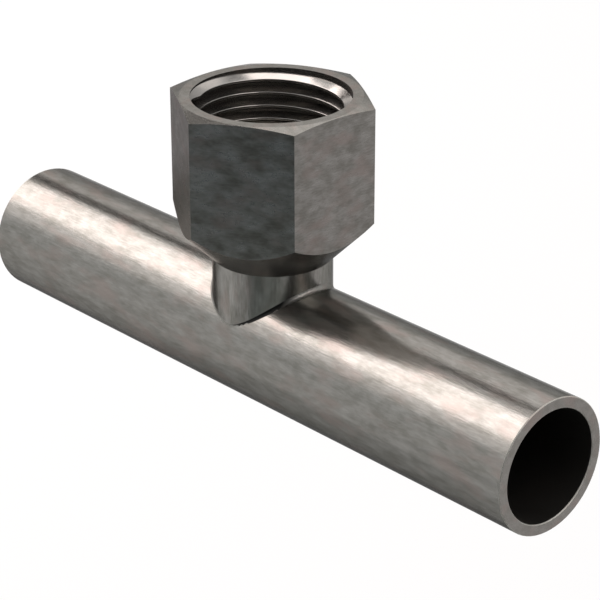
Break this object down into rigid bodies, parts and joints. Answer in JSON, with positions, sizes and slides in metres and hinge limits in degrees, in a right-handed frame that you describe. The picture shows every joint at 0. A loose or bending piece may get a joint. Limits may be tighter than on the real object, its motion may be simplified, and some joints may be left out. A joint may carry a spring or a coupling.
{
  "type": "press fit tee",
  "caption": "Steel tee with a plain-ended run tube and a hexagonal branch that has an internal pipe thread.",
  "frame": {"origin": "where the run's axis and the branch's axis cross", "axes": "+X along the run tube, +Z along the branch towards its threaded mouth"},
  "size_m": [0.1, 0.0278, 0.043],
  "materials": {
    "steel": "satin, blotchy brushed steel"
  },
  "bodies": {
    "root": {"tee_body": "steel"}
  },
  "joints": []
}
